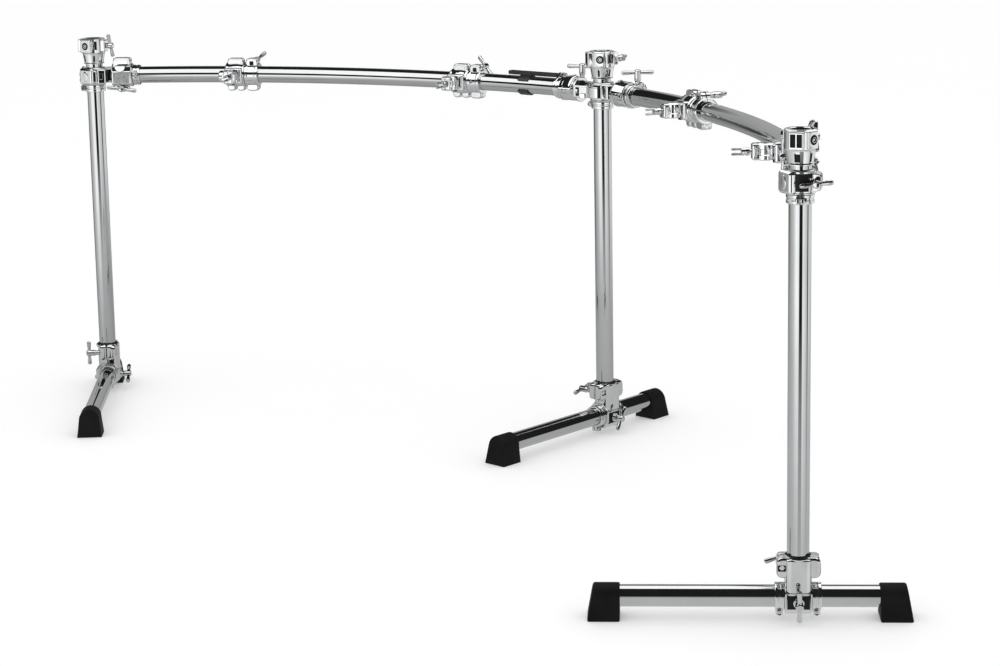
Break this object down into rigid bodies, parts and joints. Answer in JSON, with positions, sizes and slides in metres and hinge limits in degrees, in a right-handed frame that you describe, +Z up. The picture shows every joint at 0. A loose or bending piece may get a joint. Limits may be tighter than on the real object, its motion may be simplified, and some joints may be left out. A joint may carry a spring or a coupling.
{
  "type": "drum rack frame",
  "caption": "Freestanding chrome drum rack: curved bars between upright posts on splayed rubber-footed legs, with movable clamps along the bars and open receivers on the post tops.",
  "frame": {"origin": "middle of the ground rectangle under the whole rack, on the floor", "axes": "+Z up, +X from the left post to the right post as the player sees them, -Y towards the player"},
  "size_m": [2.4554, 1.072, 0.847],
  "materials": {
    "chrome": "bright mirror chrome plate on steel tube and cast metal",
    "feet": "matt black moulded rubber",
    "clip": "satin black moulded plastic"
  },
  "bodies": {
    "centre_stand": {"centre_post": "chrome"},
    "rack_top": {"left_bar": "chrome", "right_bar": "chrome", "left_tee": "chrome", "left_tee_arm_door": "chrome", "right_tee": "chrome", "right_tee_arm_door": "chrome", "centre_joint": "chrome", "left_post_lock": "chrome", "centre_post_lock": "chrome", "right_post_lock": "chrome", "key_clip": "clip"},
    "left_stand": {"left_post": "chrome"},
    "right_stand": {"right_post": "chrome"},
    "left_leg": {"left_front_foot": "feet", "left_rear_foot": "feet", "left_leg_tube": "chrome", "left_leg_socket": "chrome"},
    "centre_leg": {"centre_front_foot": "feet", "centre_rear_foot": "feet", "centre_leg_tube": "chrome", "centre_leg_socket": "chrome"},
    "right_leg": {"right_front_foot": "feet", "right_rear_foot": "feet", "right_leg_tube": "chrome", "right_leg_socket": "chrome"},
    "left_receiver": {"left_receiver": "chrome"},
    "centre_receiver": {"centre_receiver": "chrome"},
    "right_receiver": {"right_receiver": "chrome"},
    "clamp_1_band": {"clamp_1_band": "chrome"},
    "clamp_1_jaw": {"clamp_1_jaw": "chrome"},
    "clamp_2_band": {"clamp_2_band": "chrome"},
    "clamp_2_jaw": {"clamp_2_jaw": "chrome"},
    "clamp_3_band": {"clamp_3_band": "chrome"},
    "clamp_3_jaw": {"clamp_3_jaw": "chrome"},
    "clamp_4_band": {"clamp_4_band": "chrome"},
    "clamp_4_jaw": {"clamp_4_jaw": "chrome"},
    "left_tee_post_screw": {"left_tee_post_screw": "chrome"},
    "left_tee_bar_screw": {"left_tee_bar_screw": "chrome"},
    "right_tee_post_screw": {"right_tee_post_screw": "chrome"},
    "right_tee_bar_screw": {"right_tee_bar_screw": "chrome"},
    "joint_left_bar_screw": {"joint_left_bar_screw": "chrome"},
    "joint_right_bar_screw": {"joint_right_bar_screw": "chrome"},
    "left_leg_post_screw": {"left_leg_post_screw": "chrome"},
    "left_leg_tube_screw": {"left_leg_tube_screw": "chrome"},
    "centre_leg_post_screw": {"centre_leg_post_screw": "chrome"},
    "centre_leg_tube_screw": {"centre_leg_tube_screw": "chrome"},
    "right_leg_post_screw": {"right_leg_post_screw": "chrome"},
    "right_leg_tube_screw": {"right_leg_tube_screw": "chrome"},
    "left_receiver_screw": {"left_receiver_screw": "chrome"},
    "centre_receiver_screw": {"centre_receiver_screw": "chrome"},
    "right_receiver_screw": {"right_receiver_screw": "chrome"},
    "clamp_1_band_screw": {"clamp_1_band_screw": "chrome"},
    "clamp_1_jaw_nut": {"clamp_1_jaw_nut": "chrome"},
    "clamp_2_band_screw": {"clamp_2_band_screw": "chrome"},
    "clamp_2_jaw_nut": {"clamp_2_jaw_nut": "chrome"},
    "clamp_3_band_screw": {"clamp_3_band_screw": "chrome"},
    "clamp_3_jaw_nut": {"clamp_3_jaw_nut": "chrome"},
    "clamp_4_band_screw": {"clamp_4_band_screw": "chrome"},
    "clamp_4_jaw_nut": {"clamp_4_jaw_nut": "chrome"}
  },
  "joints": [
    {"name": "rack_height", "type": "slide", "parent": "centre_stand", "child": "rack_top", "axis": [0, 0, 1], "range_m": [-0.3, 0]},
    {"name": "left_post_height", "type": "slide", "parent": "rack_top", "child": "left_stand", "axis": [0, 0, 1], "range_m": [0, 0.3]},
    {"name": "right_post_height", "type": "slide", "parent": "rack_top", "child": "right_stand", "axis": [0, 0, 1], "range_m": [0, 0.3]},
    {"name": "left_leg_swivel", "type": "hinge", "parent": "left_stand", "child": "left_leg", "pos_m": [-1.13299, -0.24197, 0.066], "axis": [0, 0, 1], "continuous": true},
    {"name": "centre_leg_swivel", "type": "hinge", "parent": "centre_stand", "child": "centre_leg", "pos_m": [-0.02929, 0.34383, 0.066], "axis": [0, 0, 1], "continuous": true},
    {"name": "right_leg_swivel", "type": "hinge", "parent": "right_stand", "child": "right_leg", "pos_m": [1.07441, -0.24197, 0.066], "axis": [0, 0, 1], "continuous": true},
    {"name": "left_receiver_swivel", "type": "hinge", "parent": "left_stand", "child": "left_receiver", "pos_m": [-1.13299, -0.24197, 0.789], "axis": [0, 0, 1], "continuous": true},
    {"name": "centre_receiver_swivel", "type": "hinge", "parent": "centre_stand", "child": "centre_receiver", "pos_m": [-0.02929, 0.34383, 0.789], "axis": [0, 0, 1], "continuous": true},
    {"name": "right_receiver_swivel", "type": "hinge", "parent": "right_stand", "child": "right_receiver", "pos_m": [1.07441, -0.24197, 0.789], "axis": [0, 0, 1], "continuous": true},
    {"name": "clamp_1_slide", "type": "hinge", "parent": "rack_top", "child": "clamp_1_band", "pos_m": [0.08995, -1.21347, 0.749], "axis": [0, 0, 1], "range_deg": [-12.7, 6.8]},
    {"name": "clamp_2_slide", "type": "hinge", "parent": "rack_top", "child": "clamp_2_band", "pos_m": [0.08995, -1.21347, 0.749], "axis": [0, 0, 1], "range_deg": [-1.7, 3.7]},
    {"name": "clamp_3_slide", "type": "hinge", "parent": "rack_top", "child": "clamp_3_band", "pos_m": [-0.14854, -1.21347, 0.749], "axis": [0, 0, 1], "range_deg": [-11, 6.6]},
    {"name": "clamp_4_slide", "type": "hinge", "parent": "rack_top", "child": "clamp_4_band", "pos_m": [-0.14854, -1.21347, 0.749], "axis": [0, 0, 1], "range_deg": [-5.5, 7]},
    {"name": "clamp_1_jaw_turn", "type": "hinge", "parent": "clamp_1_band", "child": "clamp_1_jaw", "pos_m": [-0.89791, -0.0037, 0.749], "axis": [0.7746, 0.6325, 0], "range_deg": [-90, 90]},
    {"name": "clamp_2_jaw_turn", "type": "hinge", "parent": "clamp_2_band", "child": "clamp_2_jaw", "pos_m": [-0.40512, 0.26785, 0.749], "axis": [0.9484, 0.317, 0], "range_deg": [-90, 90]},
    {"name": "clamp_3_jaw_turn", "type": "hinge", "parent": "clamp_3_band", "child": "clamp_3_jaw", "pos_m": [0.31266, 0.27874, 0.749], "axis": [0.9554, -0.2953, 0], "range_deg": [-90, 90]},
    {"name": "clamp_4_jaw_turn", "type": "hinge", "parent": "clamp_4_band", "child": "clamp_4_jaw", "pos_m": [0.84074, -0.00486, 0.749], "axis": [0.7738, -0.6334, 0], "range_deg": [-90, 90]},
    {"name": "left_tee_post_screw_turn", "type": "hinge", "parent": "rack_top", "child": "left_tee_post_screw", "pos_m": [-1.16402, -0.2352, 0.749], "axis": [-0.622, -0.783, 0], "range_deg": [0, 720]},
    {"name": "left_tee_bar_screw_turn", "type": "hinge", "parent": "rack_top", "child": "left_tee_bar_screw", "pos_m": [-1.08179, -0.19903, 0.7195], "axis": [0.756, -0.6545, 0], "range_deg": [0, 720]},
    {"name": "right_tee_post_screw_turn", "type": "hinge", "parent": "rack_top", "child": "right_tee_post_screw", "pos_m": [1.10543, -0.2352, 0.749], "axis": [0.622, -0.783, 0], "range_deg": [0, 720]},
    {"name": "right_tee_bar_screw_turn", "type": "hinge", "parent": "rack_top", "child": "right_tee_bar_screw", "pos_m": [1.0232, -0.19903, 0.7785], "axis": [-0.756, -0.6545, 0], "range_deg": [0, 720]},
    {"name": "joint_left_bar_screw_turn", "type": "hinge", "parent": "rack_top", "child": "joint_left_bar_screw", "pos_m": [-0.11585, 0.36604, 0.762], "axis": [0, 0, 1], "range_deg": [0, 720]},
    {"name": "joint_right_bar_screw_turn", "type": "hinge", "parent": "rack_top", "child": "joint_right_bar_screw", "pos_m": [0.05726, 0.36604, 0.762], "axis": [0, 0, 1], "range_deg": [0, 720]},
    {"name": "left_leg_post_screw_turn", "type": "hinge", "parent": "left_leg", "child": "left_leg_post_screw", "pos_m": [-1.12031, -0.27162, 0.093], "axis": [-0.6032, -0.7976, 0], "range_deg": [0, 720]},
    {"name": "left_leg_tube_screw_turn", "type": "hinge", "parent": "left_leg", "child": "left_leg_tube_screw", "pos_m": [-1.11611, -0.21964, 0.034], "axis": [0.6032, 0.7976, 0], "range_deg": [0, 720]},
    {"name": "centre_leg_post_screw_turn", "type": "hinge", "parent": "centre_leg", "child": "centre_leg_post_screw", "pos_m": [-0.04197, 0.31418, 0.093], "axis": [-0.9934, -0.1149, 0], "range_deg": [0, 720]},
    {"name": "centre_leg_tube_screw_turn", "type": "hinge", "parent": "centre_leg", "child": "centre_leg_tube_screw", "pos_m": [-0.00148, 0.34705, 0.034], "axis": [0.9934, 0.1149, 0], "range_deg": [0, 720]},
    {"name": "right_leg_post_screw_turn", "type": "hinge", "parent": "right_leg", "child": "right_leg_post_screw", "pos_m": [1.04348, -0.2511, 0.093], "axis": [-0.7218, 0.6921, 0], "range_deg": [0, 720]},
    {"name": "right_leg_tube_screw_turn", "type": "hinge", "parent": "right_leg", "child": "right_leg_tube_screw", "pos_m": [1.09461, -0.26135, 0.034], "axis": [0.7218, -0.6921, 0], "range_deg": [0, 720]},
    {"name": "left_receiver_screw_turn", "type": "hinge", "parent": "left_receiver", "child": "left_receiver_screw", "pos_m": [-1.10355, -0.22497, 0.8195], "axis": [0.866, 0.5, 0], "range_deg": [0, 720]},
    {"name": "centre_receiver_screw_turn", "type": "hinge", "parent": "centre_receiver", "child": "centre_receiver_screw", "pos_m": [-0.01229, 0.37328, 0.8195], "axis": [0.5, 0.866, 0], "range_deg": [0, 720]},
    {"name": "right_receiver_screw_turn", "type": "hinge", "parent": "right_receiver", "child": "right_receiver_screw", "pos_m": [1.05741, -0.21252, 0.8195], "axis": [-0.5, 0.866, 0], "range_deg": [0, 720]},
    {"name": "clamp_1_band_screw_turn", "type": "hinge", "parent": "clamp_1_band", "child": "clamp_1_band_screw", "pos_m": [-0.8738, 0.0289, 0.779], "axis": [-0.6325, 0.7746, 0], "range_deg": [0, 720]},
    {"name": "clamp_1_jaw_nut_turn", "type": "hinge", "parent": "clamp_1_jaw", "child": "clamp_1_jaw_nut", "pos_m": [-0.85111, -0.06102, 0.749], "axis": [0.6325, -0.7746, 0], "range_deg": [0, 720]},
    {"name": "clamp_2_band_screw_turn", "type": "hinge", "parent": "clamp_2_band", "child": "clamp_2_band_screw", "pos_m": [-0.37102, 0.28979, 0.779], "axis": [-0.317, 0.9484, 0], "range_deg": [0, 720]},
    {"name": "clamp_2_jaw_nut_turn", "type": "hinge", "parent": "clamp_2_jaw", "child": "clamp_2_jaw_nut", "pos_m": [-0.38167, 0.19767, 0.749], "axis": [0.317, -0.9484, 0], "range_deg": [0, 720]},
    {"name": "clamp_3_band_screw_turn", "type": "hinge", "parent": "clamp_3_band", "child": "clamp_3_band_screw", "pos_m": [0.35316, 0.27669, 0.779], "axis": [0.2953, 0.9554, 0], "range_deg": [0, 720]},
    {"name": "clamp_3_jaw_nut_turn", "type": "hinge", "parent": "clamp_3_jaw", "child": "clamp_3_jaw_nut", "pos_m": [0.29081, 0.20804, 0.749], "axis": [-0.2953, -0.9554, 0], "range_deg": [0, 720]},
    {"name": "clamp_4_band_screw_turn", "type": "hinge", "parent": "clamp_4_band", "child": "clamp_4_band_screw", "pos_m": [0.87748, -0.02201, 0.779], "axis": [0.6334, 0.7738, 0], "range_deg": [0, 720]},
    {"name": "clamp_4_jaw_nut_turn", "type": "hinge", "parent": "clamp_4_jaw", "child": "clamp_4_jaw_nut", "pos_m": [0.79387, -0.06212, 0.749], "axis": [-0.6334, -0.7738, 0], "range_deg": [0, 720]}
  ],
  "couplings": [
    {"joint": "left_post_height", "follows": "rack_height", "ratio": -1},
    {"joint": "right_post_height", "follows": "rack_height", "ratio": -1}
  ]
}
